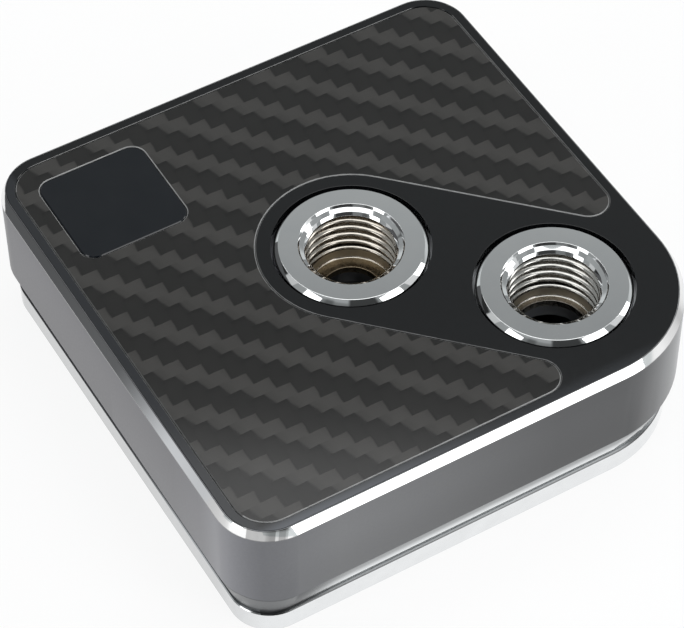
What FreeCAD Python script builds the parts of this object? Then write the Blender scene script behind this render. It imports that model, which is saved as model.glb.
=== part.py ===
import FreeCAD, Part
import math
import os

# Liquid cooling cold plate, millimetres. Z up, the cooled face at Z = 0,
# X and Y through the middle of the block, which is also the axis of the middle port.

# Outside
BODY_HALF = 35.0
BODY_CORNER = 7.2
PLATE_TOP = 21.05
BEVEL_DROP = 1.2
BEVEL_OUT = 0.75
BEVEL_CORNER = 6.0
FOOT_TOP = 7.7
FOOT_SETBACK = 1.45
FOOT_CORNER = 5.2

# Ports on one diagonal, the big corner concentric with the outer one
PORT_BIAS = 1.1
PORT_OFFSET = BODY_HALF / 2 + PORT_BIAS
INLET_R = 3.9
OUTLET_R = 4.75
BODY_CORNER_BIG = BODY_HALF - PORT_OFFSET

# Base with its micro-fins
BASE_SETBACK = 1.1
BASE_HALF = BODY_HALF - BASE_SETBACK
BASE_CORNER = 5.5
BASE_TOP = 3.35
BASE_EDGE_TOP = 0.12
BASE_EDGE_BOTTOM = 0.2
FIN_THICK = 0.35
FIN_PITCH = 0.7
FIN_COUNT = 37
FIN_ROOT = 1.85
FIN_TOP = 4.85
FIN_POCKET_END = 1.5

# Chamber and its seal
CHAMBER_SETBACK = 9.9
CHAMBER_HALF = BASE_HALF - CHAMBER_SETBACK
CHAMBER_CORNER = 6.0
CHAMBER_TOP = 9.6
SEAL_WIDTH = 2.2
SEAL_ROOM = 0.4
SEAL_LAND = 1.0
SEAL_HEIGHT = 1.6
SEAL_ROUND = 0.5

# Port bushes: G 1/4 threads, drawn at the crest radius
THREAD_CREST = 5.7225
BUSH_MOUTH = [(1.1075, 0.0), (0.88, 0.33), (0.33, 0.7), (0.0, 1.05)]
STEM_WALL = 2.6775
STEM_R = THREAD_CREST + STEM_WALL
FLANGE_OUT = 1.55
BUSH_R = STEM_R + FLANGE_OUT
BUSH_PROUD = 0.35
BUSH_EDGE_OUT = 0.63
BUSH_CHAMFER = 0.6
FLANGE_DEPTH = 3.45
BUSH_SEAT = PLATE_TOP - FLANGE_DEPTH
ROOF = 1.75
BUSH_BOTTOM = CHAMBER_TOP + ROOF
FLOOR_THICK = 1.0
BUSH_FLOOR = BUSH_BOTTOM + FLOOR_THICK
GROOVE_DEPTH = 1.0
GROOVE_HEIGHT = 1.6
RING_HEIGHT = 1.3
RING_ROUND = 0.35
SEAT_GAP = 0.1

# Black plate and the parts let into it
PLATE_HOLE_GAP = 0.35
PLATE_HOLE_R = BUSH_R + PLATE_HOLE_GAP
PLATE_THICK = 1.8
RIM_LAND = 0.13
SIDE_GAP = 0.05
FILM = 0.1
FILM_SETBACK = 1.0
INLAY_SETBACK = 2.15
INLAY_HALF = BODY_HALF - INLAY_SETBACK
INLAY_CORNER = 4.5
SLOT_LAND = 1.95
INLAY_SLOT = PLATE_HOLE_R + SLOT_LAND
INLAY_TIP = 2.8
INLAY_THICK = 0.5
INLAY_GAP = 0.08
INLAY_EDGE = 0.12
EDGE_BREAK = 0.07
BADGE_HALF = 7.5
BADGE_INSET_X = 2.85
BADGE_INSET_Y = 3.25
BADGE_X = BADGE_HALF + BADGE_INSET_X - INLAY_HALF
BADGE_Y = INLAY_HALF - BADGE_INSET_Y - BADGE_HALF
BADGE_CORNER = 2.0
BADGE_EDGE = 0.12

# Flow divider, jet plate and gasket, long sides along X
DIVIDER_ROOM = 5.0
DIVIDER_X = CHAMBER_HALF - DIVIDER_ROOM
FIN_SETBACK = 4.0
FIN_HALF_LENGTH = DIVIDER_X - FIN_SETBACK
DIVIDER_CORNER = 2.0
GASKET_THICK = 0.5
GASKET_LAND = 0.4
GASKET_SLOT = 2.4
GASKET_END = 1.0
DIVIDER_LAND = 0.5
JET_THICK = 0.5
JET_SLOT = 1.4
MANIFOLD_SLOT = 3.0
MANIFOLD_HEIGHT = 1.75
COLLAR_IN = 4.6
COLLAR_OUT = 6.0
COLLAR_DEPTH = 1.0
COLLAR_ROOM = 0.1

# Fasteners
SCREW_R = 1.25
SCREW_HEAD_R = 2.35
SCREW_SUNK = 0.15
SCREW_CLEAR = 0.1
SCREW_REACH = 9.0
SCREW_TAP_ROOM = 0.35
SCREW_SOCKET = 1.5
SCREW_SOCKET_DEPTH = 0.7
SCREW_INSET = 3.3
SCREW_INSET_BIG = 6.9
SCREW_SIDE = BASE_HALF - SCREW_INSET
SCREW_DIAGONAL = BASE_HALF - BASE_CORNER
SCREW_DIAGONAL_BIG = BASE_HALF - SCREW_INSET_BIG
JET_SCREW_R = 1.0
JET_SCREW_HEAD_R = 1.7
JET_SCREW_HEAD = 1.2
JET_SCREW_GRIP = 3.0
JET_SCREW_REACH = CHAMBER_TOP + JET_SCREW_GRIP
JET_SCREW_TAP_ROOM = 0.4
JET_SCREW_SOCKET = 1.3
JET_SCREW_SOCKET_DEPTH = 0.6
JET_SCREW_INSET = 1.8
JET_SCREW_ROOM = 10.6
JET_SCREW_X = DIVIDER_X - JET_SCREW_INSET
JET_SCREW_Y = PORT_OFFSET - JET_SCREW_ROOM
INSERT_X = SCREW_SIDE
INSERT_Y = 14.0
INSERT_R = 2.1
INSERT_WAIST_R = 1.85
INSERT_BORE_R = 1.25
INSERT_LENGTH = 5.0
INSERT_WAIST = 1.0
INSERT_RELIEF = 2.0
INSERT_RELIEF_R = 1.6
BRACKET_CLEAR_R = 1.7

TOP_SIDE = FreeCAD.Vector(0, 0, 1)
ROOT2 = math.sqrt(2.0)
RECESS_FLOOR = PLATE_TOP - PLATE_THICK - FILM
RECESS_HALF = BODY_HALF - BEVEL_OUT - RIM_LAND
RECESS_CORNER = BEVEL_CORNER - RIM_LAND
RECESS_CORNER_BIG = BODY_CORNER_BIG - BEVEL_OUT - RIM_LAND
INLAY_FLOOR = PLATE_TOP - INLAY_THICK
WALL_TOP = PLATE_TOP - BEVEL_DROP
BUSH_TOP = PLATE_TOP + BUSH_PROUD
GASKET_TOP = FIN_TOP + GASKET_THICK
JET_TOP = GASKET_TOP + JET_THICK
FIN_SPAN = (FIN_COUNT - 1) / 2 * FIN_PITCH
GASKET_Y = FIN_SPAN + GASKET_LAND
JET_SLOT_HALF = GASKET_Y - GASKET_END
DIVIDER_Y = GASKET_Y + DIVIDER_LAND
PORTS = {"center": (0.0, 0.0, INLET_R), "corner": (PORT_OFFSET, -PORT_OFFSET, OUTLET_R)}

shapes = {}


def at(x, y, z):
    return FreeCAD.Vector(x, y, z)


def corner_arc(cx, cy, r, start, z):
    """quarter circle about (cx, cy) from the angle start, counter-clockwise"""
    pts = []
    for step in (0, 45, 90):
        t = math.radians(start + step)
        pts.append(at(cx + r * math.cos(t), cy + r * math.sin(t), z))
    return pts


def ring_of(arcs):
    """closed wire through arcs, each three points, joined by straight lines"""
    edges = []
    for i, arc in enumerate(arcs):
        edges.append(Part.Arc(arc[0], arc[1], arc[2]).toShape())
        start = arcs[(i + 1) % len(arcs)][0]
        if arc[2].distanceToPoint(start) > 1e-6:
            edges.append(Part.makeLine(arc[2], start))
    return Part.Wire(edges)


def square_wire(half_x, half_y, r, z, r_big=None, cx=0.0, cy=0.0):
    """rounded rectangle; r_big is the corner at +X, -Y"""
    last = r if r_big is None else r_big
    arcs = []
    for sx, sy, start, rr in ((1, 1, 0, r), (-1, 1, 90, r), (-1, -1, 180, r), (1, -1, 270, last)):
        arcs.append(corner_arc(cx + sx * (half_x - rr), cy + sy * (half_y - rr), rr, start, z))
    return ring_of(arcs)


def inlay_wire(grow, z):
    """outline of the carbon sheet: a rounded square with a slot toward +X, -Y, grown all round"""
    half = INLAY_HALF + grow
    slot = INLAY_SLOT - grow
    tip = INLAY_TIP + grow
    reach = half - tip - ROOT2 * (slot + tip)
    arcs = []
    for sx, sy, start in ((1, 1, 0), (-1, 1, 90), (-1, -1, 180)):
        r = INLAY_CORNER + grow
        arcs.append(corner_arc(sx * (half - r), sy * (half - r), r, start, z))
    low = []
    for t in (-90, -22.5, 45):
        a = math.radians(t)
        low.append(at(reach + tip * math.cos(a), tip - half + tip * math.sin(a), z))
    arcs.append(low)
    bay = []
    for t in (225, 135, 45):
        a = math.radians(t)
        bay.append(at(slot * math.cos(a), slot * math.sin(a), z))
    arcs.append(bay)
    right = []
    for t in (-135, -67.5, 0):
        a = math.radians(t)
        right.append(at(half - tip + tip * math.cos(a), -reach + tip * math.sin(a), z))
    arcs.append(right)
    return ring_of(arcs)


def prism(wire, height):
    return Part.Face(wire).extrude(at(0, 0, height))


def loft(low, high):
    return Part.makeLoft([low, high], True, True)


def cylinder(x, y, r, z0, z1):
    return Part.makeCylinder(r, z1 - z0, at(x, y, z0), TOP_SIDE)


def block(half_x, half_y, z0, z1):
    return Part.makeBox(2 * half_x, 2 * half_y, z1 - z0, at(-half_x, -half_y, z0))


def turned(profile, x, y):
    """solid of revolution about the vertical through (x, y) from (radius, height) points"""
    pts = [at(r, 0, z) for r, z in profile]
    face = Part.Face(Part.makePolygon(pts + [pts[0]]))
    solid = face.revolve(at(0, 0, 0), TOP_SIDE, 360)
    solid.translate(at(x, y, 0))
    return solid


def seal_ring(x, y, r_in, r_out, z0, z1):
    """O-ring squeezed into its groove: a rectangular section with its corners taken off"""
    c = RING_ROUND
    profile = [(r_in + c, z0), (r_out - c, z0), (r_out, z0 + c), (r_out, z1 - c)]
    profile += [(r_out - c, z1), (r_in + c, z1), (r_in, z1 - c), (r_in, z0 + c)]
    return turned(profile, x, y)


def hexagon(x, y, across, z0, z1):
    pts = []
    for i in range(6):
        t = math.radians(60 * i)
        pts.append(at(x + across / math.sqrt(3) * math.cos(t), y + across / math.sqrt(3) * math.sin(t), z0))
    return Part.Face(Part.makePolygon(pts + [pts[0]])).extrude(at(0, 0, z1 - z0))


def mirrored(x, y):
    return [(sx * x, sy * y) for sx in (1, -1) for sy in (1, -1)]


SCREWS = [(SCREW_SIDE, 0), (-SCREW_SIDE, 0), (0, SCREW_SIDE), (0, -SCREW_SIDE)]
SCREWS += [(SCREW_DIAGONAL, SCREW_DIAGONAL), (-SCREW_DIAGONAL, SCREW_DIAGONAL)]
SCREWS += [(-SCREW_DIAGONAL, -SCREW_DIAGONAL), (SCREW_DIAGONAL_BIG, -SCREW_DIAGONAL_BIG)]
JET_SCREWS = mirrored(JET_SCREW_X, JET_SCREW_Y)
INSERTS = mirrored(INSERT_X, INSERT_Y)


# Housing: foot chamfer, wall and polished bevel, then everything cut from it
foot_half = BODY_HALF - FOOT_SETBACK
foot_low = square_wire(foot_half, foot_half, FOOT_CORNER, BASE_TOP, BODY_CORNER_BIG - FOOT_SETBACK)
foot_high = square_wire(BODY_HALF, BODY_HALF, BODY_CORNER, FOOT_TOP, BODY_CORNER_BIG)
wall_top = square_wire(BODY_HALF, BODY_HALF, BODY_CORNER, WALL_TOP, BODY_CORNER_BIG)
bevel_half = BODY_HALF - BEVEL_OUT
bevel_top = square_wire(bevel_half, bevel_half, BEVEL_CORNER, PLATE_TOP, BODY_CORNER_BIG - BEVEL_OUT)
housing = loft(foot_low, foot_high)
housing = housing.fuse([prism(foot_high, WALL_TOP - FOOT_TOP), loft(wall_top, bevel_top)])
recess = square_wire(RECESS_HALF, RECESS_HALF, RECESS_CORNER, RECESS_FLOOR, RECESS_CORNER_BIG)
chamber = square_wire(CHAMBER_HALF, CHAMBER_HALF, CHAMBER_CORNER, BASE_TOP)
groove_half = SEAL_WIDTH / 2 + SEAL_ROOM / 2
path = CHAMBER_HALF + SEAL_LAND + groove_half
path_corner = CHAMBER_CORNER + SEAL_LAND + groove_half
groove_out = square_wire(path + groove_half, path + groove_half, path_corner + groove_half, BASE_TOP)
groove_in = square_wire(path - groove_half, path - groove_half, path_corner - groove_half, BASE_TOP)
groove = prism(groove_out, SEAL_HEIGHT).cut(prism(groove_in, SEAL_HEIGHT))
cuts = [prism(recess, PLATE_THICK + 1), prism(chamber, CHAMBER_TOP - BASE_TOP), groove]
for x, y, hole in PORTS.values():
    cuts.append(cylinder(x, y, BUSH_R + SEAT_GAP, BUSH_SEAT, PLATE_TOP))
    cuts.append(cylinder(x, y, STEM_R, BUSH_BOTTOM, BUSH_SEAT))
    cuts.append(cylinder(x, y, hole, CHAMBER_TOP, BUSH_BOTTOM))
for x, y in SCREWS:
    cuts.append(cylinder(x, y, SCREW_R, BASE_TOP, SCREW_REACH + SCREW_TAP_ROOM))
for x, y in JET_SCREWS:
    cuts.append(cylinder(x, y, JET_SCREW_R, CHAMBER_TOP, JET_SCREW_REACH + JET_SCREW_TAP_ROOM))
for x, y in INSERTS:
    cuts.append(cylinder(x, y, INSERT_R, BASE_TOP, BASE_TOP + INSERT_LENGTH))
    relief_top = BASE_TOP + INSERT_LENGTH + INSERT_RELIEF
    cuts.append(cylinder(x, y, INSERT_RELIEF_R, BASE_TOP + INSERT_LENGTH, relief_top))
shapes["housing"] = housing.cut(cuts)

# Base: one piece with its fins, cut away between them


def base_wire(inset, z):
    """outline of the base, moved in all round"""
    half = BASE_HALF - inset
    return square_wire(half, half, BASE_CORNER - inset, z, BODY_CORNER_BIG - BASE_SETBACK - inset)


base_mid = base_wire(0, BASE_EDGE_BOTTOM)
base_low = base_wire(BASE_EDGE_BOTTOM, 0)
mid_top = BASE_TOP - BASE_EDGE_TOP
base_high = base_wire(0, mid_top)
base_top = base_wire(BASE_EDGE_TOP, BASE_TOP)
base = loft(base_low, base_mid)
base = base.fuse([prism(base_mid, mid_top - BASE_EDGE_BOTTOM), loft(base_high, base_top)])
pocket_y = FIN_SPAN + FIN_THICK / 2 + (FIN_PITCH - FIN_THICK)
cuts = [block(FIN_HALF_LENGTH + FIN_POCKET_END, pocket_y, FIN_ROOT, BASE_TOP)]
for x, y in SCREWS:
    cuts.append(cylinder(x, y, SCREW_HEAD_R, 0, SCREW_SUNK))
    cone = SCREW_HEAD_R - SCREW_R - SCREW_CLEAR
    cuts.append(Part.makeCone(SCREW_HEAD_R, SCREW_R + SCREW_CLEAR, cone, at(x, y, SCREW_SUNK)))
    cuts.append(cylinder(x, y, SCREW_R + SCREW_CLEAR, SCREW_SUNK + cone, BASE_TOP))
for x, y in INSERTS:
    cuts.append(cylinder(x, y, BRACKET_CLEAR_R, 0, BASE_TOP))
base = base.cut(cuts)
fins = []
for i in range(FIN_COUNT):
    y = i * FIN_PITCH - FIN_SPAN - FIN_THICK / 2
    corner = at(-FIN_HALF_LENGTH, y, FIN_ROOT)
    fins.append(Part.makeBox(2 * FIN_HALF_LENGTH, FIN_THICK, FIN_TOP - FIN_ROOT, corner))
shapes["cold_plate"] = base.fuse(fins)

# Black plate with the recess for the carbon sheet and the badge
plate_half = RECESS_HALF - SIDE_GAP
plate_z = PLATE_TOP - PLATE_THICK
plate_big = RECESS_CORNER_BIG - SIDE_GAP
plate = prism(square_wire(plate_half, plate_half, RECESS_CORNER - SIDE_GAP, plate_z, plate_big), PLATE_THICK)
cuts = [prism(inlay_wire(INLAY_GAP, INLAY_FLOOR - FILM), INLAY_THICK + FILM)]
cuts.append(loft(inlay_wire(INLAY_GAP, PLATE_TOP - EDGE_BREAK), inlay_wire(INLAY_GAP + EDGE_BREAK, PLATE_TOP)))
for x, y, hole in PORTS.values():
    cuts.append(cylinder(x, y, PLATE_HOLE_R, plate_z, PLATE_TOP))
shapes["top_plate"] = plate.cut(cuts)

film_half = plate_half - FILM_SETBACK
film_big = plate_big - FILM_SETBACK
film = prism(square_wire(film_half, film_half, RECESS_CORNER - FILM_SETBACK, RECESS_FLOOR, film_big), FILM)
cuts = [cylinder(x, y, PLATE_HOLE_R + FILM_SETBACK, RECESS_FLOOR, plate_z) for x, y, hole in PORTS.values()]
shapes["plate_adhesive"] = film.cut(cuts)

# Carbon sheet and badge, each on its own film
badge_room = BADGE_HALF + INLAY_GAP
room_corner = BADGE_CORNER + INLAY_GAP
window = square_wire(badge_room, badge_room, room_corner, INLAY_FLOOR - FILM, None, BADGE_X, BADGE_Y)
window = prism(window, INLAY_THICK + FILM)
inlay_side = PLATE_TOP - INLAY_EDGE
wide_room = badge_room + INLAY_EDGE
low = square_wire(badge_room, badge_room, room_corner, inlay_side, None, BADGE_X, BADGE_Y)
high = square_wire(wide_room, wide_room, room_corner + INLAY_EDGE, PLATE_TOP, None, BADGE_X, BADGE_Y)
inlay = prism(inlay_wire(0, INLAY_FLOOR), inlay_side - INLAY_FLOOR)
inlay = inlay.fuse(loft(inlay_wire(0, inlay_side), inlay_wire(-INLAY_EDGE, PLATE_TOP)))
shapes["carbon_inlay"] = inlay.cut([window, loft(low, high)])
shapes["inlay_adhesive"] = prism(inlay_wire(0, INLAY_FLOOR - FILM), FILM).cut(window)
badge_side = PLATE_TOP - BADGE_EDGE
low = square_wire(BADGE_HALF, BADGE_HALF, BADGE_CORNER, INLAY_FLOOR, None, BADGE_X, BADGE_Y)
mid = square_wire(BADGE_HALF, BADGE_HALF, BADGE_CORNER, badge_side, None, BADGE_X, BADGE_Y)
top_half = BADGE_HALF - BADGE_EDGE
high = square_wire(top_half, top_half, BADGE_CORNER - BADGE_EDGE, PLATE_TOP, None, BADGE_X, BADGE_Y)
shapes["badge_tile"] = prism(low, badge_side - INLAY_FLOOR).fuse(loft(mid, high))
film = square_wire(BADGE_HALF, BADGE_HALF, BADGE_CORNER, INLAY_FLOOR - FILM, None, BADGE_X, BADGE_Y)
shapes["badge_adhesive"] = prism(film, FILM)

# Port bushes and their seals
for name, (x, y, hole) in PORTS.items():
    groove_z = (BUSH_BOTTOM + BUSH_SEAT - GROOVE_HEIGHT) / 2
    groove_top = groove_z + GROOVE_HEIGHT
    groove_r = STEM_R - GROOVE_DEPTH
    profile = [(hole, BUSH_BOTTOM), (STEM_R, BUSH_BOTTOM), (STEM_R, groove_z)]
    profile += [(groove_r, groove_z), (groove_r, groove_top), (STEM_R, groove_top)]
    profile += [(STEM_R, BUSH_SEAT), (BUSH_R, BUSH_SEAT), (BUSH_R, BUSH_TOP - BUSH_CHAMFER)]
    profile += [(BUSH_R - BUSH_EDGE_OUT, BUSH_TOP)]
    profile += [(THREAD_CREST + out, BUSH_TOP - down) for out, down in BUSH_MOUTH]
    profile += [(THREAD_CREST, BUSH_FLOOR), (hole, BUSH_FLOOR)]
    shapes["port_bush_" + name] = turned(profile, x, y)
    seal_z = groove_z + (GROOVE_HEIGHT - RING_HEIGHT) / 2
    shapes["bush_seal_" + name] = seal_ring(x, y, groove_r, STEM_R, seal_z, seal_z + RING_HEIGHT)

# Main seal in its groove
half = SEAL_WIDTH / 2
outer = prism(square_wire(path + half, path + half, path_corner + half, BASE_TOP), SEAL_HEIGHT)
seal = outer.cut(prism(square_wire(path - half, path - half, path_corner - half, BASE_TOP), SEAL_HEIGHT))
rounds = []
for edge in seal.Edges:
    levels = [v.Point.z for v in edge.Vertexes]
    if max(levels) - min(levels) < 1e-6:
        rounds.append(edge)
shapes["main_seal"] = seal.makeChamfer(SEAL_ROUND, rounds)

# Jet gasket, jet plate and flow divider over the fins
gasket = block(FIN_HALF_LENGTH, GASKET_Y, FIN_TOP, GASKET_TOP)
shapes["jet_gasket"] = gasket.cut(block(GASKET_SLOT / 2, JET_SLOT_HALF, FIN_TOP, GASKET_TOP))
jet = prism(square_wire(DIVIDER_X, DIVIDER_Y, DIVIDER_CORNER, GASKET_TOP), JET_THICK)
cuts = [block(JET_SLOT / 2, JET_SLOT_HALF, GASKET_TOP, JET_TOP)]
divider = prism(square_wire(DIVIDER_X, DIVIDER_Y, DIVIDER_CORNER, JET_TOP), CHAMBER_TOP - JET_TOP)
inlet = PORTS["center"][2]
manifold_top = JET_TOP + MANIFOLD_HEIGHT
collar_z = CHAMBER_TOP - COLLAR_DEPTH
collar = cylinder(0, 0, COLLAR_OUT, collar_z, CHAMBER_TOP)
more = [block(MANIFOLD_SLOT / 2, JET_SLOT_HALF, JET_TOP, manifold_top)]
more += [cylinder(0, 0, inlet, manifold_top, CHAMBER_TOP)]
more += [collar.cut(cylinder(0, 0, COLLAR_IN, collar_z, CHAMBER_TOP))]
for x, y in JET_SCREWS:
    cuts.append(cylinder(x, y, JET_SCREW_R, GASKET_TOP, JET_TOP))
    more.append(cylinder(x, y, JET_SCREW_R, JET_TOP, CHAMBER_TOP))
shapes["jet_plate"] = jet.cut(cuts)
shapes["flow_divider"] = divider.cut(more)
seal_in = COLLAR_IN + COLLAR_ROOM
shapes["inlet_seal"] = seal_ring(0, 0, seal_in, COLLAR_OUT - COLLAR_ROOM, collar_z, CHAMBER_TOP)

# Fasteners, each kind one group of separate solids
screws = []
for x, y in SCREWS:
    cone = SCREW_HEAD_R - SCREW_R
    profile = [(0, SCREW_SUNK), (SCREW_HEAD_R, SCREW_SUNK), (SCREW_R, SCREW_SUNK + cone)]
    profile += [(SCREW_R, SCREW_REACH), (0, SCREW_REACH)]
    socket = hexagon(x, y, SCREW_SOCKET, SCREW_SUNK, SCREW_SUNK + SCREW_SOCKET_DEPTH)
    screws.append(turned(profile, x, y).cut(socket))
shapes["cold_plate_screws"] = Part.makeCompound(screws)

screws = []
for x, y in JET_SCREWS:
    head_z = GASKET_TOP - JET_SCREW_HEAD
    head = cylinder(x, y, JET_SCREW_HEAD_R, head_z, GASKET_TOP)
    screw = head.fuse(cylinder(x, y, JET_SCREW_R, GASKET_TOP, JET_SCREW_REACH))
    screws.append(screw.cut(hexagon(x, y, JET_SCREW_SOCKET, head_z, head_z + JET_SCREW_SOCKET_DEPTH)))
shapes["divider_screws"] = Part.makeCompound(screws)

inserts = []
for x, y in INSERTS:
    insert_top = BASE_TOP + INSERT_LENGTH
    waist = BASE_TOP + (INSERT_LENGTH - INSERT_WAIST) / 2
    profile = [(INSERT_BORE_R, BASE_TOP), (INSERT_R, BASE_TOP), (INSERT_R, waist)]
    profile += [(INSERT_WAIST_R, waist), (INSERT_WAIST_R, waist + INSERT_WAIST), (INSERT_R, waist + INSERT_WAIST)]
    profile += [(INSERT_R, insert_top), (INSERT_BORE_R, insert_top)]
    inserts.append(turned(profile, x, y))
shapes["bracket_inserts"] = Part.makeCompound(inserts)

os.makedirs("parts", exist_ok=True)
for node, shape in shapes.items():
    shape.exportStep("parts/" + node + ".step")
    print(node, len(shape.Solids), round(shape.Volume, 2), shape.isValid())
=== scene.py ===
import math

import bmesh
import bpy
import numpy as np
from mathutils import Matrix, Vector

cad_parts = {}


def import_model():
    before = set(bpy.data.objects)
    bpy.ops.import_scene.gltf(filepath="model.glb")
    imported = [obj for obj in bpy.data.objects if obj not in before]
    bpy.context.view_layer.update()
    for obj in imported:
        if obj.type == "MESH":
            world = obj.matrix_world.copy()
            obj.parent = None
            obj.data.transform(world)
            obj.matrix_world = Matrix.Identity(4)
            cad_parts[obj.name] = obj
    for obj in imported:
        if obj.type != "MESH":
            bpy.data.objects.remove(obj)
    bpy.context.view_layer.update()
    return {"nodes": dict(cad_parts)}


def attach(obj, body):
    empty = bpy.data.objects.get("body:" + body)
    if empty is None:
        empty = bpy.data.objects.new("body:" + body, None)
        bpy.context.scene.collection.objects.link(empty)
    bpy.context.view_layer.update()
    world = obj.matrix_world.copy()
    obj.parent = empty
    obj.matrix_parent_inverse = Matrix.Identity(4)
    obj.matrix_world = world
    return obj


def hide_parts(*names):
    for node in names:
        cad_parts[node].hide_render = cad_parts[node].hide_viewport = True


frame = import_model()
NODES = frame["nodes"]
MM = 0.001

# Heights in millimetres, in the part's frame
BASE_TOP = 3.35
FOOT_TOP = 7.7
WALL_TOP = 19.85
PLATE_TOP = 21.05

# Ports: place in plan and radius of the bore in the floor
PORTS = {"center": (0.0, 0.0, 3.9), "corner": (18.6, -18.6, 4.75)}

# Bush, turned: heights, then radii
BUSH_LOW = 11.35
STEP = 12.35
GROOVE_LOW, GROOVE_HIGH = 13.675, 15.275
SEAT = 17.6
RIM_LOW = 20.8
BUSH_TOP = 21.4
BODY, GROOVE, FLANGE, RIM = 8.4, 7.4, 9.95, 9.32

# Port thread G 1/4: radii of crest and root, pitch, height of a crest, first and last height of the helix
CREST = 5.7225
ROOT = 6.5785
PITCH = 1.337
THREAD_START = PLATE_TOP - 1.92
THREAD_TOP, THREAD_END = 20.24, PLATE_TOP - 7.2
# the mouth above it, as steps outward from the crest and down from the bush's top
MOUTH = [(1.1075, 0.0), (0.88, 0.33), (0.33, 0.7), (0.0, 1.05)]

# Corners of the base: distance of their centre from the block's middle, and the radius where their side begins
SMALL_CORNER = (28.4, 5.05)
BIG_CORNER = (18.6, 14.85)

# Weave: width of a tow, and where its pattern starts in x and y
TOW = 2.014
WEAVE_START = (21.352, 14.367)


# Nodes

class Net:
    """Node tree of a material or the world, with a short call for each kind of node"""

    def __init__(self, owner):
        owner.use_nodes = True
        self.nodes, self.links = owner.node_tree.nodes, owner.node_tree.links

    def put(self, socket, value):
        """Link another socket to this one, or set its value"""
        if isinstance(value, bpy.types.NodeSocket):
            self.links.new(value, socket)
        else:
            socket.default_value = value

    def add(self, kind, inputs=(), **settings):
        """New node, its inputs given by name or number"""
        node = self.nodes.new("ShaderNode" + kind)
        for name, value in settings.items():
            setattr(node, name, value)
        for key, value in dict(inputs).items():
            self.put(node.inputs[key], value)
        return node

    def calc(self, operation, *values):
        """Result of a math node"""
        return self.add("Math", enumerate(values), operation=operation).outputs[0]

    def between(self, fac, lo, hi):
        """From lo to hi while fac goes from 0 to 1"""
        return self.add("MapRange", {"Value": fac, "To Min": lo, "To Max": hi}).outputs[0]

    def smooth(self, value, start, end):
        """0 before start and 1 after end, with a soft run between them; start may be the higher one"""
        inputs = {"Value": value, "From Min": start, "From Max": end}
        return self.add("MapRange", inputs, interpolation_type="SMOOTHSTEP").outputs[0]

    def band(self, value, lo, hi, soft):
        """1 between lo and hi, 0 outside, with soft ends"""
        return self.calc("SUBTRACT", self.smooth(value, lo - soft, lo + soft), self.smooth(value, hi - soft, hi + soft))

    def ramp(self, fac, stops, tint=(1, 1, 1)):
        """Colour over fac; a stop holds a position and a colour, or a grey value that the tint multiplies"""
        node = self.add("ValToRGB", {0: fac})
        elements = node.color_ramp.elements
        while len(elements) < len(stops):
            elements.new(0.5)
        for element, (position, value) in zip(elements, stops):
            colour = value if isinstance(value, tuple) else [value * t for t in tint]
            element.position = position
            element.color = (*colour, 1)
        return node.outputs[0]

    def mix(self, fac, a, b):
        """Colour a where fac is 0, b where it is 1"""
        return self.add("Mix", {0: fac, 6: a, 7: b}, data_type="RGBA").outputs[2]

    def blend(self, fac, a, b):
        """Value a where fac is 0, b where it is 1"""
        return self.add("Mix", {0: fac, 2: a, 3: b}, data_type="FLOAT").outputs[0]

    def times(self, a, b):
        """Product of two colours"""
        return self.add("Mix", {0: 1.0, 6: a, 7: b}, data_type="RGBA", blend_type="MULTIPLY").outputs[2]

    def dimmed(self, tone, mask, share):
        """Tone where the mask is 0, that share of it where the mask is 1"""
        return self.times(tone, self.ramp(mask, [(0.0, 1.0), (1.0, share)]))

    def tinted(self, tone, tint):
        """Colour from a value, each channel with its own share"""
        return self.add("CombineColor", enumerate(self.calc("MULTIPLY", tone, t) for t in tint)).outputs[0]


class Finish(Net):
    """Material with its shader and its object coordinate"""

    def __init__(self, name):
        self.material = bpy.data.materials.new(name)
        super().__init__(self.material)
        self.bsdf = self.nodes["Principled BSDF"]
        self.coord = self.add("TexCoord").outputs["Object"]

    def parts(self):
        """x, y and z of the object coordinate, in metres"""
        return self.add("SeparateXYZ", {0: self.coord}).outputs

    def turn(self, x, y):
        """Place round the block: 0 and 1 at the left, 0.25 in front, 0.5 at the right, 0.75 at the back"""
        return self.calc("MULTIPLY_ADD", self.calc("ARCTAN2", y, x), 0.5 / math.pi, 0.5)

    def noise(self, scale, detail=3.0, stretch=None, output="Fac"):
        """Noise over the object coordinate, which may be stretched first"""
        coord = self.coord
        if stretch:
            coord = self.add("Mapping", {"Vector": coord, "Scale": stretch}).outputs[0]
        return self.add("TexNoise", {"Vector": coord, "Scale": scale, "Detail": detail}).outputs[output]

    def bump(self, height, strength, distance):
        node = self.add("Bump", {"Strength": strength, "Distance": distance, "Height": height})
        self.put(self.bsdf.inputs["Normal"], node.outputs[0])

    def shaded(self, colour, rough, metallic=0.0):
        """The material, with its shader's sockets set or linked"""
        for name, value in (("Base Color", colour), ("Roughness", rough), ("Metallic", metallic)):
            self.put(self.bsdf.inputs[name], value)
        return self.material


# Materials

def surface(name, dark, light, rough, grain=900.0, metallic=0.0, stretch=None, depth=0.0):
    """A finish whose colour and roughness vary a little with a noise, and a fine bump where it has a depth"""
    f = Finish(name)
    fac = f.noise(grain, stretch=stretch)
    if depth:
        f.bump(fac, 0.5, depth)
    return f.shaded(f.ramp(fac, [(0.3, dark), (0.7, light)]), f.between(fac, *rough), metallic)


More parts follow.
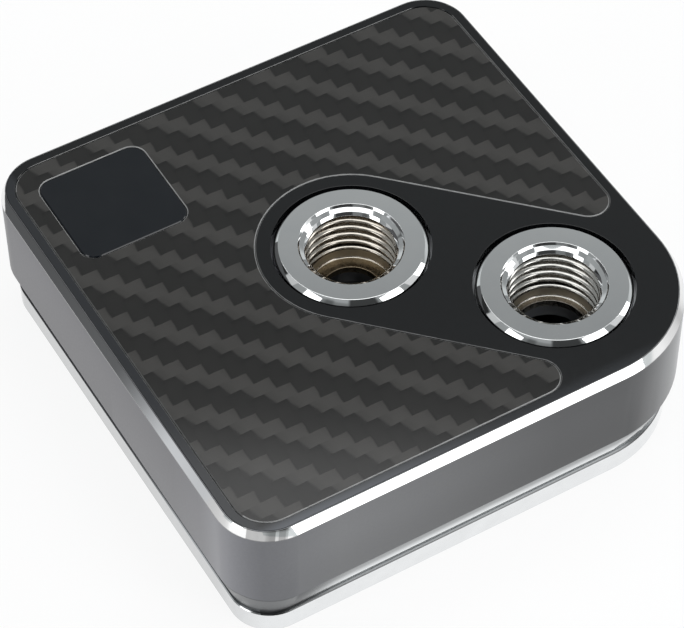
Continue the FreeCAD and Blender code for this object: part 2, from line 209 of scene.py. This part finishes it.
def polish_material():
    """Polished bevel with painted reflections: its tone changes in patches where it turns round the front and the big
    corner
    """
    f = Finish("polished_edge")
    m = f.calc
    x, y, z = f.parts()
    turn = f.turn(x, y)
    # painted reflections: the bevel's tone along the sides, round the block
    sides = f.ramp(turn, [
        (0.0, 0.85), (0.018, 0.80), (0.036, 0.75), (0.053, 0.70), (0.069, 0.64), (0.083, 0.58), (0.096, 0.53),
        (0.104, 0.56), (0.144, 0.95), (0.16, 0.85), (0.352, 0.85), (0.358, 0.72), (0.366, 0.66), (0.370, 0.50),
        (0.374, 0.45), (0.3785, 0.70), (0.384, 0.85), (1.0, 0.85)])
    # a ramp holds 256 steps, so the front corner with its fine painted reflection patches has one of its own
    first, last = 0.104, 0.144
    corner = f.ramp(m("MULTIPLY_ADD", turn, 1 / (last - first), -first / (last - first)), [
        (0.0, 0.56), (0.10, 0.60), (0.20, 0.68), (0.236, 0.77), (0.27, 1.0), (0.452, 1.0), (0.458, 0.50),
        (0.525, 0.52), (0.575, 0.50), (0.60, 0.52), (0.645, 0.52), (0.672, 0.40), (0.70, 0.33), (0.72, 0.31),
        (0.752, 0.33), (0.758, 0.70), (0.785, 0.66), (0.79, 0.43), (0.85, 0.43), (0.857, 0.58), (0.875, 0.68),
        (0.88, 1.0), (1.0, 1.0)])
    tone = f.mix(m("MULTIPLY", m("GREATER_THAN", turn, first), m("LESS_THAN", turn, last)), sides, corner)
    # painted shade: darker along its inner rim, against the black plate, and a little along its lower edge
    tone = f.dimmed(tone, m("GREATER_THAN", z, (PLATE_TOP - 0.055) * MM), 0.25)
    tone = f.dimmed(tone, m("LESS_THAN", z, (WALL_TOP + 0.05) * MM), 0.6)
    return f.shaded(tone, f.between(f.noise(500.0), 0.04, 0.08), 1.0)


def black_material():
    """Black anodised plate, with a painted highlight that lightens its left and front borders"""
    f = Finish("black_anodised")
    m = f.calc
    x, y, _ = f.parts()
    grain = f.noise(3200.0)
    left = f.smooth(x, -31.2 * MM, -32.2 * MM)
    front = f.smooth(y, -32.2 * MM, -34.0 * MM)
    # the painted highlight on the front border grows lighter toward the left
    front = m("MULTIPLY", front, m("MULTIPLY_ADD", f.smooth(x, 4 * MM, -26 * MM), 0.065, 0.016))
    tone = m("MULTIPLY_ADD", left, 0.016, m("ADD", front, m("MULTIPLY_ADD", grain, 0.003, 0.0035)))
    return f.shaded(f.tinted(tone, (0.93, 1.0, 1.14)), f.between(grain, 0.08, 0.12))


def satin_material():
    """Fine blasted nickel on the walls, its tone changing slowly round the block with painted reflections and shade"""
    f = Finish("satin_wall")
    x, y, z = f.parts()
    turn = f.turn(x, y)
    # painted reflections and shade: tone by place round the block, with a painted highlight near the big corner
    tone = f.ramp(turn, [
        (0.0, 0.111), (0.07, 0.122), (0.095, 0.160), (0.105, 0.235), (0.112, 0.25), (0.128, 0.175), (0.16, 0.215),
        (0.20, 0.185), (0.25, 0.142), (0.29, 0.110), (0.325, 0.102), (0.338, 0.112), (0.35, 0.17), (0.366, 0.27),
        (0.38, 0.48), (0.388, 0.38), (0.396, 0.27), (0.42, 0.25), (0.55, 0.24), (0.80, 0.17), (0.87, 0.125),
        (1.0, 0.111)])
    # painted reflection: bluer at the left
    cool, blue = (0.98, 1.0, 1.035), (1.01, 1, 1.11)
    tone = f.times(tone, f.ramp(turn, [(0.0, blue), (0.09, (1.0, 1, 1.10)), (0.13, (0.98, 1, 1.07)),
                                       (0.16, cool), (0.84, cool), (0.90, blue), (1.0, blue)]))
    grain = f.noise(2600.0)
    tone = f.times(tone, f.ramp(grain, [(0.3, 0.93), (0.7, 1.0)]))
    # painted shade: the front wall darkens a little toward the foot
    low = f.calc("MULTIPLY", f.smooth(z, 17 * MM, 8 * MM), f.smooth(turn, 0.12, 0.16))
    f.bump(grain, 0.5, 4e-6)
    return f.shaded(f.dimmed(tone, low, 0.83), f.between(grain, 0.30, 0.38), 1.0)


def at_big_corner(f, x, y):
    """1 in the quarter of the block that has the big corner"""
    return f.calc("MULTIPLY", f.calc("GREATER_THAN", x, 0.0), f.calc("LESS_THAN", y, 0.0))


def foot_material():
    """Foot chamfer: polished along the sides with painted reflection bands, running out into the satin toward the small
    corners
    """
    f = Finish("polished_foot")
    m = f.calc
    x, y, z = f.parts()
    near = m("MINIMUM", m("ABSOLUTE", x), m("ABSOLUTE", y))
    near = m("MULTIPLY", near, m("SUBTRACT", 1.0, at_big_corner(f, x, y)))
    fade = f.smooth(near, 20 * MM, 28 * MM)
    # painted reflections: brighter downward along the front and right, with a dark belt in the middle of the left and
    # back
    height = m("DIVIDE", z, 10 * MM)
    tint = (0.97, 1, 1.015)
    front = f.ramp(height, [(0.36, 0.60), (0.42, 0.95), (0.49, 0.76), (0.565, 0.57), (0.64, 0.39), (0.77, 0.33)], tint)
    left = f.ramp(height, [(0.42, 0.44), (0.52, 0.27), (0.62, 0.36), (0.74, 0.56)], tint)
    in_front = m("LESS_THAN", m("ABSOLUTE", m("SUBTRACT", f.turn(x, y), 0.37)), 0.245)
    tone = f.mix(fade, f.mix(in_front, left, front), (0.115, 0.12, 0.125, 1))
    grain = f.noise(700.0, stretch=(1, 1, 14))
    return f.shaded(tone, m("MULTIPLY_ADD", fade, 0.20, m("MULTIPLY_ADD", grain, 0.06, 0.08)), 1.0)


def base_material():
    """Bright nickel of the base, with painted shade that darkens it at the left and darkens its rim in the joint under
    the housing
    """
    f = Finish("bright_nickel")
    m = f.calc
    x, y, z = f.parts()
    # painted shade: the tone drops at the left
    tone = f.ramp(f.turn(x, y), [(0.0, 0.57), (0.10, 0.60), (0.13, 0.86), (0.80, 0.84), (0.88, 0.57), (1.0, 0.57)],
                  (0.985, 1, 1.01))
    grain = f.noise(420.0)
    tone = f.times(tone, f.ramp(grain, [(0.3, 0.96), (0.7, 1.0)]))

    def past(ax, ay, corner):
        """1 beyond a square with corners rounded by the given radius about the given centre"""
        centre, radius = corner
        squares = [m("POWER", m("MAXIMUM", m("SUBTRACT", a, centre * MM), 0.0), 2.0) for a in (ax, ay)]
        return m("GREATER_THAN", m("SQRT", m("ADD", *squares)), radius * MM)

    # painted shade on the rim: the base's top beyond the housing's outline, in the joint under it
    small = past(m("ABSOLUTE", x), m("ABSOLUTE", y), SMALL_CORNER)
    wide = past(x, m("MULTIPLY", y, -1.0), BIG_CORNER)
    big = at_big_corner(f, x, y)
    rim = m("ADD", m("MULTIPLY", small, m("SUBTRACT", 1.0, big)), m("MULTIPLY", wide, big))
    rim = m("MULTIPLY", rim, m("GREATER_THAN", z, (BASE_TOP - 0.13) * MM))
    # painted shade, darker still below the very edge, but not at the left, where the rim is dimmed less by its painted
    # shade
    side = m("LESS_THAN", x, -32 * MM)
    sharp = m("MULTIPLY", m("MULTIPLY", rim, m("LESS_THAN", z, (BASE_TOP - 0.005) * MM)), m("SUBTRACT", 1.0, side))
    rim = m("MULTIPLY", rim, m("MULTIPLY_ADD", side, -0.7, 1.0))
    tone = f.dimmed(f.dimmed(tone, rim, 0.33), sharp, 0.36)
    f.bump(grain, 0.5, 1e-6)
    return f.shaded(tone, m("MULTIPLY_ADD", rim, 0.2, m("MULTIPLY_ADD", grain, 0.06, 0.07)), 1.0)


def carbon_material():
    """2 by 2 twill: light floats along x, darker floats along y, under a gloss, with painted highlights and painted
    shadows on the floats
    """
    f = Finish("carbon_twill")
    m = f.calc
    wobble = f.add("SeparateColor", {0: f.noise(420.0, 1.0, output="Color")}).outputs

    def in_tows(place, channel, share, start):
        """Place in tow widths, each edge a little uneven"""
        uneven = m("MULTIPLY_ADD", m("SUBTRACT", wobble[channel], 0.5), share, m("DIVIDE", place, TOW * MM))
        return m("ADD", uneven, start / TOW)

    x, y, _ = f.parts()
    x = in_tows(x, 0, 0.26, WEAVE_START[0])
    y = in_tows(y, 1, 0.16, WEAVE_START[1])
    row = m("FLOOR", m("ADD", y, 0.5))
    # place across the light float and along it, 0 in its middle, the float 1.68 long
    up = m("SUBTRACT", y, row)
    along = m("MULTIPLY_ADD", m("FRACT", m("MULTIPLY_ADD", m("ADD", x, row), 0.25, 0.5)), 4.0, -2.0)
    lean = m("MULTIPLY_ADD", up, -0.05, along)
    # one end of a light float is square, the other slants and fades
    weft = m("MULTIPLY", f.smooth(lean, 0.93, 0.77), f.smooth(m("MULTIPLY_ADD", up, 0.32, along), -0.98, -0.70))
    # painted highlight: a bright slanting band along the middle of each light float
    float_sheen = f.smooth(m("ABSOLUTE", m("SUBTRACT", m("MULTIPLY_ADD", up, 0.3, along), 0.15)), 0.8, 0.3)
    # painted shadow: a dark float is darkest where it passes under the light float above it
    dive_shadow = m("MULTIPLY", f.smooth(up, 0.05, 0.45), f.smooth(along, -0.7, -1.1))
    # place across the dark float
    side = m("SUBTRACT", m("SUBTRACT", x, m("FLOOR", x)), 0.5)

    def rounding(place, power):
        """1 in the middle of a tow, 0 at its edge"""
        return m("SUBTRACT", 1.0, m("POWER", place, power))

    round_light = m("MULTIPLY", rounding(m("MULTIPLY", m("ABSOLUTE", up), 2.0), 4.0),
                    rounding(m("MINIMUM", m("ABSOLUTE", lean), 1.0), 5.0))
    dark_rounding_and_shade = rounding(m("MULTIPLY", m("ABSOLUTE", side), 2.0), 4.0)
    fibres_x = f.noise(1.0, 2.0, (500, 9000, 1))
    fibres_y = f.noise(1.0, 2.0, (9000, 500, 1))
    patch = f.noise(170.0, 1.0)
    # the light float's colour carries the painted highlight; the dark float's colour carries painted shade, lighter in
    # its middle than at its edges
    light = m("MULTIPLY_ADD", fibres_x, 0.007, m("MULTIPLY_ADD", patch, 0.009, m("MULTIPLY_ADD", float_sheen, 0.006, 0.028)))
    dark = m("MULTIPLY_ADD", patch, 0.006, m("MULTIPLY_ADD", dark_rounding_and_shade, 0.0015, 0.0065))
    dark = m("MULTIPLY_ADD", dive_shadow, -0.004, m("MULTIPLY_ADD", fibres_y, 0.003, dark))
    f.bump(f.blend(weft, dark_rounding_and_shade, round_light), 0.05, 1e-5)
    return f.shaded(f.tinted(f.blend(weft, dark, light), (1.05, 1.0, 0.95)), 0.10)


bare = surface("bare_edge", 0.12, 0.18, (0.25, 0.4))
# painted lit and painted shaded copies of the cut carbon edge; the shaded copy lines the left border
carbon_edge = surface("cut_carbon_edge", 0.24, 0.34, (0.35, 0.45))
left_edge_painted_dark = surface("left_carbon_edge_painted_dark", 0.07, 0.11, (0.35, 0.45))
badge = surface("badge_gloss", (0.0025, 0.004, 0.0065), (0.004, 0.0055, 0.008), (0.08, 0.12), 300.0)
chrome = surface("chrome", (0.78, 0.785, 0.79), 0.81, (0.03, 0.06), 300.0, 1.0)
thread_warm = surface("thread_nickel_warm", (0.50, 0.46, 0.405), (0.58, 0.54, 0.485), (0.10, 0.20), 1500.0, 1.0)
thread_cool = surface("thread_nickel", (0.50, 0.485, 0.46), (0.58, 0.57, 0.545), (0.10, 0.20), 1500.0, 1.0)
port_wall = surface("port_wall", (0.74, 0.66, 0.53), (0.82, 0.75, 0.63), (0.30, 0.40), metallic=0.85)
# painted shade: the port floors are coloured dark for the shade at the bottom of the bore
floor_warm = surface("port_floor_warm", (0.155, 0.122, 0.083), (0.225, 0.185, 0.13), (0.2, 0.35), metallic=1.0)
floor_cool = surface("port_floor", (0.15, 0.135, 0.115), (0.22, 0.20, 0.18), (0.2, 0.35), metallic=1.0)
film = surface("adhesive_film", (0.70, 0.70, 0.67), (0.78, 0.78, 0.75), (0.6, 0.8), 700.0)
rubber = surface("seal_rubber", 0.018, 0.026, (0.6, 0.75), 1200.0, depth=5e-6)
silicone = surface("gasket_silicone", (0.23, 0.23, 0.25), (0.27, 0.27, 0.29), (0.6, 0.75))
sheet = surface("brushed_steel_sheet", (0.48, 0.48, 0.49), (0.60, 0.60, 0.61), (0.22, 0.36), 400.0, 1.0,
                (1, 12, 12), 3e-6)
moulded = surface("moulded_plastic", (0.035, 0.035, 0.036), (0.05, 0.05, 0.051), (0.45, 0.6), 2500.0, depth=6e-6)
steel = surface("screw_steel", (0.42, 0.42, 0.43), (0.54, 0.54, 0.55), (0.22, 0.34), 1800.0, 1.0)
brass = surface("turned_brass", (0.55, 0.41, 0.19), (0.66, 0.51, 0.26), (0.2, 0.32), 600.0, 1.0, (1, 1, 9))
carbon = carbon_material()
satin = satin_material()
polish = polish_material()
black = black_material()
foot = foot_material()
nickel = base_material()


# Meshes

def linked(name, data):
    """New object in the scene"""
    obj = bpy.data.objects.new(name, data)
    bpy.context.scene.collection.objects.link(obj)
    return obj


def stand_in(node, name, mesh, mats):
    """Object that takes a CAD node's place"""
    obj = linked(name, mesh)
    for mat in mats:
        mesh.materials.append(mat)
    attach(obj, "root")
    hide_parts(node)
    normals = obj.modifiers.new("normals", "WEIGHTED_NORMAL")
    normals.mode = "FACE_AREA"
    normals.weight = 100
    normals.keep_sharp = True


def bends(e, degrees):
    """Whether an edge's two faces meet at more than that angle"""
    return len(e.link_faces) == 2 and e.calc_face_angle() > math.radians(degrees)


def in_order(elements, key):
    """Sort a mesh's elements, which a bevel leaves in another order on each run"""
    rank = {element: i for i, element in enumerate(sorted(elements, key=key))}
    elements.sort(key=lambda element: rank[element])
    elements.index_update()


def refined(node, mats, rounds, index):
    """A CAD node's own mesh with the picked edges rounded, each by its width, and its faces sorted by finish"""
    bm = bmesh.new()
    bm.from_mesh(NODES[node].data)
    bmesh.ops.remove_doubles(bm, verts=bm.verts, dist=2e-7)
    bmesh.ops.dissolve_limit(bm, angle_limit=math.radians(0.6), verts=bm.verts, edges=bm.edges)
    for width, pick in rounds:
        edges = [e for e in bm.edges if bends(e, 20) and pick(e)]
        bmesh.ops.bevel(bm, geom=edges, offset=width * MM, segments=2, profile=0.6, affect="EDGES",
                        clamp_overlap=True)
    in_order(bm.verts, lambda v: tuple(v.co))
    for elements in (bm.edges, bm.faces):
        in_order(elements, lambda element: sorted(v.index for v in element.verts))
    bm.normal_update()
    for f in bm.faces:
        f.material_index = index(f)
        f.smooth = True
    for e in bm.edges:
        if bends(e, 42):
            e.smooth = False
    mesh = bpy.data.meshes.new(node + "_mesh")
    bm.to_mesh(mesh)
    bm.free()
    stand_in(node, node + "_finished", mesh, mats)


def outside(e, reach=33.0):
    """Whether an edge lies on the block's outline, the big corner's arc included"""
    return all(max(abs(v.co.x), abs(v.co.y)) > reach * MM or v.co.x - v.co.y > 52 * MM for v in e.verts)


def outside_face(f):
    """Whether a face lies on the block's outline"""
    c = f.calc_center_median()
    return max(abs(c.x), abs(c.y)) > 33.4 * MM or c.x - c.y > 54 * MM or abs(c.x) + abs(c.y) > 62 * MM


def top_edge(e):
    """Whether an edge lies in the plate's top face"""
    return min(v.co.z for v in e.verts) > (PLATE_TOP - 0.01) * MM


def at_port(e):
    """Whether an edge goes round one of the plate's port holes"""
    return any(all((v.co - Vector((x * MM, y * MM, v.co.z))).length < 10.6 * MM for v in e.verts)
               for x, y, _ in PORTS.values())


def slants(f):
    """Whether a face is a rounded edge between a top and a side"""
    return 0.3 < f.normal.z < 0.95


def housing_finish(f):
    """Satin 0, polished bevel 1, polished foot 2"""
    z = f.calc_center_median().z / MM
    if not outside_face(f):
        return 0
    if z > WALL_TOP - 0.02:
        return 1
    return 2 if z < FOOT_TOP - 0.05 and f.normal.z < -0.1 else 0


def inlay_finish(f):
    """Weave 0, cut edge 1, cut edge along the left border with painted shade 2"""
    if not slants(f):
        return 0
    return 2 if f.calc_center_median().x < -32.5 * MM else 1


def plate_finish(f):
    """Black 0, bare edge round a port hole 1"""
    return 1 if slants(f) and not outside_face(f) else 0


refined("housing", [satin, polish, foot], [(0.07, outside)], housing_finish)
refined("cold_plate", [nickel], [], lambda f: 0)
refined("carbon_inlay", [carbon, carbon_edge, left_edge_painted_dark], [], inlay_finish)
refined("top_plate", [black, bare],
        [(0.03, lambda e: top_edge(e) and outside(e, 33.5)), (0.05, lambda e: top_edge(e) and at_port(e))],
        plate_finish)

ARC = 3


def rounded(profile, r):
    """(radius, height) points with each inner corner turned into an arc, wider where the mouth ends in the thread"""
    out = [profile[0]]
    for a, b, c in zip(profile, profile[1:], profile[2:]):
        a, b, c = np.array(a), np.array(b), np.array(c)
        u, w = a - b, c - b
        wide = 3 * r if b[0] < CREST + 0.1 and b[1] > 20 else r
        cut = min(wide, np.linalg.norm(u) * 0.45, np.linalg.norm(w) * 0.45)
        p, q = b + u / np.linalg.norm(u) * cut, b + w / np.linalg.norm(w) * cut
        for i in range(ARC + 1):
            t = i / ARC
            out.append(tuple((1 - t) ** 2 * p + 2 * t * (1 - t) * b + t * t * q))
    out.append(profile[-1])
    return out


def thread_table(n, window):
    """Share of the thread's depth over one pitch in n steps, crests and roots rounded by a moving mean"""
    flanks = 2 * np.abs(np.arange(n) / n - 0.5)
    cut = np.clip((flanks - 0.5) * 1.5, -0.5, 0.5) + 0.5
    return np.convolve(np.tile(cut, 3), np.ones(window) / window, mode="same")[n:2 * n]


STEPS = 256
TABLE = thread_table(STEPS, 36)


def thread_depth(theta, z):
    """0 on the crest to 1 in the root of a right-hand thread, with a crest at THREAD_START where theta is 60 degrees"""
    phase = ((z - THREAD_START) / PITCH - (theta - math.radians(60)) / (2 * math.pi)) % 1.0
    # the table's middle is the crest
    return np.interp((phase + 0.5) % 1.0, np.arange(STEPS + 1) / STEPS, np.append(TABLE, TABLE[0]))


def bush(name, x, y, hole, mats):
    """Port bush turned from a profile, with a real G 1/4 thread cut as a helix"""
    seg = 192
    theta = np.arange(seg) * 2 * math.pi / seg

    def ring(r, z):
        return np.full(seg, r), np.full(seg, z)

    # from the bottom up the outside, over the flange and down the mouth
    outer = [(hole, BUSH_LOW), (BODY, BUSH_LOW), (BODY, GROOVE_LOW), (GROOVE, GROOVE_LOW), (GROOVE, GROOVE_HIGH),
             (BODY, GROOVE_HIGH), (BODY, SEAT), (FLANGE, SEAT), (FLANGE, RIM_LOW), (RIM, BUSH_TOP)]
    outer += [(CREST + out, BUSH_TOP - down) for out, down in MOUTH] + [(CREST, THREAD_TOP + 0.04)]
    rows = [ring(r, z) for r, z in rounded(outer, 0.035)]
    finish = [0] * len(rows)
    steps = int((THREAD_TOP - THREAD_END) / PITCH * 14)
    for i in range(steps + 1):
        z = THREAD_TOP + (THREAD_END - THREAD_TOP) * i / steps
        # run-in over 0.3 mm and run-out over 0.5 mm
        fade = min(1.0, (THREAD_TOP - z) / 0.3) * min(1.0, (z - THREAD_END) / 0.5)
        rows.append((CREST + (ROOT - CREST) * thread_depth(theta, z) * fade, np.full(seg, z)))
        finish.append(1)
    # the wall below the thread, the step and the bore in the floor
    inner = [(CREST, THREAD_END - 0.05), (CREST, STEP + 0.15), (CREST - 0.15, STEP), (hole + 0.08, STEP),
             (hole, STEP - 0.08), (hole, BUSH_LOW)]
    inner = rounded(inner, 0.06)[:-1]
    rows += [ring(r, z) for r, z in inner]
    finish += [2] * (ARC + 1) + [1] * (ARC + 1) + [3] * (len(inner) - 2 * (ARC + 1))
    count = len(rows)
    verts = []
    for r, z in rows:
        verts += list(zip((x + r * np.cos(theta)) * MM, (y + r * np.sin(theta)) * MM, z * MM))
    faces = [(i * seg + k, i * seg + (k + 1) % seg, (i + 1) % count * seg + (k + 1) % seg, (i + 1) % count * seg + k)
             for i in range(count) for k in range(seg)]
    mesh = bpy.data.meshes.new(name + "_mesh")
    mesh.from_pydata(verts, [], faces)
    mesh.polygons.foreach_set("material_index", np.repeat(finish, seg))
    mesh.polygons.foreach_set("use_smooth", [True] * len(faces))
    mesh.update()
    bm = bmesh.new()
    bm.from_mesh(mesh)
    bmesh.ops.recalc_face_normals(bm, faces=bm.faces)
    for e in bm.edges:
        if bends(e, 50) or len({f.material_index for f in e.link_faces}) > 1:
            e.smooth = False
    bm.to_mesh(mesh)
    bm.free()
    stand_in(name, name + "_threaded", mesh, mats)


bush("port_bush_center", *PORTS["center"], [chrome, thread_warm, port_wall, floor_warm])
bush("port_bush_corner", *PORTS["corner"], [chrome, thread_cool, port_wall, floor_cool])

FINISHES = {
    "badge_tile": badge,
    "plate_adhesive": film, "inlay_adhesive": film, "badge_adhesive": film,
    "bush_seal_center": rubber, "bush_seal_corner": rubber, "main_seal": rubber, "inlet_seal": rubber,
    "jet_gasket": silicone, "jet_plate": sheet, "flow_divider": moulded,
    "cold_plate_screws": steel, "divider_screws": steel, "bracket_inserts": brass,
}
for node, mat in FINISHES.items():
    materials = NODES[node].data.materials
    materials.clear()
    materials.append(mat)


# Stage: floor, room, soft boxes and a card

# darker parts of the room: azimuths, softness, sines of the lowest and highest elevation, how much darker
SHADES = [
    (-124, -84, 3, 0.25, 0.79, 0.86),
    (-165, -124, 4, 0.25, 0.66, 0.40),
    (-157, -145, 3, 0.25, 0.69, 0.45),
    (119, 143, 2, -0.5, 0.44, 0.92),
]

# azimuth, elevation, width and height in degrees seen from the part, radiance and distance
SOFT_BOXES = {
    "box_left": (186, 19, 20, 42, 2.6, 1.2),
    "box_right": (-64.2, 20, 26, 44, 2.6, 1.2),
    "strip_right": (-17, 18, 15, 40, 2.4, 1.2),
    "fill_right": (-31.5, 20, 16, 38, 0.42, 1.2),
    "fill_left": (151, 20, 14, 38, 0.27, 1.2),
    "box_top": (60, 86.4, 62, 65, 1.35, 0.9),
}


def stage_object(name, verts, faces, mat):
    """Mesh of the stage, no part of the object"""
    mesh = bpy.data.meshes.new(name + "_mesh")
    mesh.from_pydata(verts, [], faces)
    mesh.materials.append(mat)
    obj = linked(name, mesh)
    return obj


def floor(s=3.0):
    """White floor that keeps the shadow and shows bright to the camera and in reflections"""
    f = Finish("floor_white")
    f.shaded(f.ramp(f.noise(8.0), [(0.3, 0.90), (0.7, 0.92)]), 1.0)
    f.bsdf.inputs["Specular IOR Level"].default_value = 0.0
    rays = f.add("LightPath").outputs
    seen = f.calc("MAXIMUM", rays["Is Camera Ray"],
                  f.calc("MAXIMUM", rays["Is Glossy Ray"], rays["Is Transmission Ray"]))
    glow = f.add("Emission", {"Strength": 1.0})
    mix = f.add("MixShader", {0: f.calc("MULTIPLY", seen, 0.85), 1: f.bsdf.outputs[0], 2: glow.outputs[0]})
    f.put(f.nodes["Material Output"].inputs[0], mix.outputs[0])
    stage_object("floor", [(-s, -s, 0), (s, -s, 0), (s, s, 0), (-s, s, 0)], [(0, 1, 2, 3)], f.material)


def world():
    """Room round the soft boxes: bright ceiling, grey walls, darker behind the camera and at the far left"""
    room = bpy.data.worlds.new("studio")
    bpy.context.scene.world = room
    net = Net(room)
    x, y, z = net.add("SeparateXYZ", {0: net.add("TexCoord").outputs["Generated"]}).outputs
    colour = net.ramp(z, [(0.0, 0.70), (0.15, 0.66), (0.22, 0.40), (0.27, 0.34), (0.55, 0.35), (0.70, 0.39),
                          (0.74, 0.41), (0.765, 0.33), (0.80, 0.34), (0.86, 0.55), (1.0, 0.8)], (0.95, 1, 1.01))
    azimuth = net.calc("ARCTAN2", y, x)
    level = 1.0
    for lo, hi, soft, low, high, share in SHADES:
        part = net.calc("MULTIPLY", net.band(azimuth, *(math.radians(v) for v in (lo, hi, soft))),
                        net.band(z, low, high, 0.04))
        level = net.calc("MULTIPLY", level, net.calc("MULTIPLY_ADD", part, -share, 1.0))
    background = net.nodes["Background"]
    net.put(background.inputs[0], colour)
    net.put(background.inputs[1], level)


def soft_box(name, az, el, wide, tall, level, dist):
    """Area light that faces the part and gives the same radiance whatever its size and distance"""
    a, e = math.radians(az), math.radians(el)
    toward = Vector((math.cos(a) * math.cos(e), math.sin(a) * math.cos(e), math.sin(e)))
    data = bpy.data.lights.new(name, "AREA")
    data.shape = "RECTANGLE"
    data.size = 2 * dist * math.tan(math.radians(wide / 2))
    data.size_y = 2 * dist * math.tan(math.radians(tall / 2))
    data.energy = level * math.pi * data.size * data.size_y
    obj = linked(name, data)
    obj.location = toward * dist + Vector((0, 0, 0.02))
    obj.rotation_mode = "QUATERNION"
    obj.rotation_quaternion = toward.to_track_quat("Z", "Y")
    obj.visible_camera = False


def card(name, points, height):
    """Graduated card standing at the far left, out of the picture, that the polished edges reflect"""
    f = Finish(name)
    start, length = -114, 24
    x, _, _ = f.parts()
    along = f.calc("MULTIPLY_ADD", x, 1 / (length * MM), -start / length)
    colour = f.ramp(along, [(0.0, 1.0), (0.125, 0.96), (0.2375, 0.94), (0.35, 0.86), (0.467, 0.62), (0.583, 0.37),
                            (0.6375, 0.21), (0.69, 0.13), (1.0, 0.10)], (0.97, 1, 1.03))
    f.put(f.nodes["Material Output"].inputs[0], f.add("Emission", {"Color": colour}).outputs[0])
    verts = [(x * MM, y * MM, z * MM) for z in (0.0, height) for x, y in points]
    n = len(points)
    obj = stage_object(name, verts, [(i, i + 1, n + i + 1, n + i) for i in range(n - 1)], f.material)
    obj.visible_camera = False
    obj.visible_diffuse = False
    obj.visible_shadow = False


floor()
world()
for name, box in SOFT_BOXES.items():
    soft_box(name, *box)
card("grey_card", [(-114, 25.3), (-100, 37), (-80, 85), (-60, 92), (-40, 120)], 58)


# Camera, fitted to the photo's outlines

PHOTO = (684, 628)
FOCAL_PIXELS = 2960.895
CENTRE_PIXEL = (344.7565, 312.4952)
SENSOR = 36
AZIMUTH, ELEVATION, ROLL = -0.5262, 0.8712, -0.0058
TARGET = (-6.3486, -9.1641, PLATE_TOP)
DISTANCE = 368.2836


def camera():
    data = bpy.data.cameras.new("camera")
    obj = linked("camera", data)
    back = Vector((math.sin(AZIMUTH) * math.cos(ELEVATION), -math.cos(AZIMUTH) * math.cos(ELEVATION),
                   math.sin(ELEVATION)))
    level = (-back).cross(Vector((0, 0, 1))).normalized()
    upright = level.cross(-back)
    right = math.cos(ROLL) * level + math.sin(ROLL) * upright
    up = -math.sin(ROLL) * level + math.cos(ROLL) * upright
    place = Matrix((right, up, back)).transposed().to_4x4()
    place.translation = Vector(TARGET) * MM + back * DISTANCE * MM
    obj.matrix_world = place
    data.sensor_width = SENSOR
    data.lens = FOCAL_PIXELS * SENSOR / PHOTO[0]
    data.shift_x = (PHOTO[0] / 2 - CENTRE_PIXEL[0]) / PHOTO[0]
    data.shift_y = (CENTRE_PIXEL[1] - PHOTO[1] / 2) / PHOTO[0]
    data.clip_start = 0.01
    data.clip_end = 50
    bpy.context.scene.camera = obj


camera()
bpy.context.scene.view_settings.view_transform = "Standard"
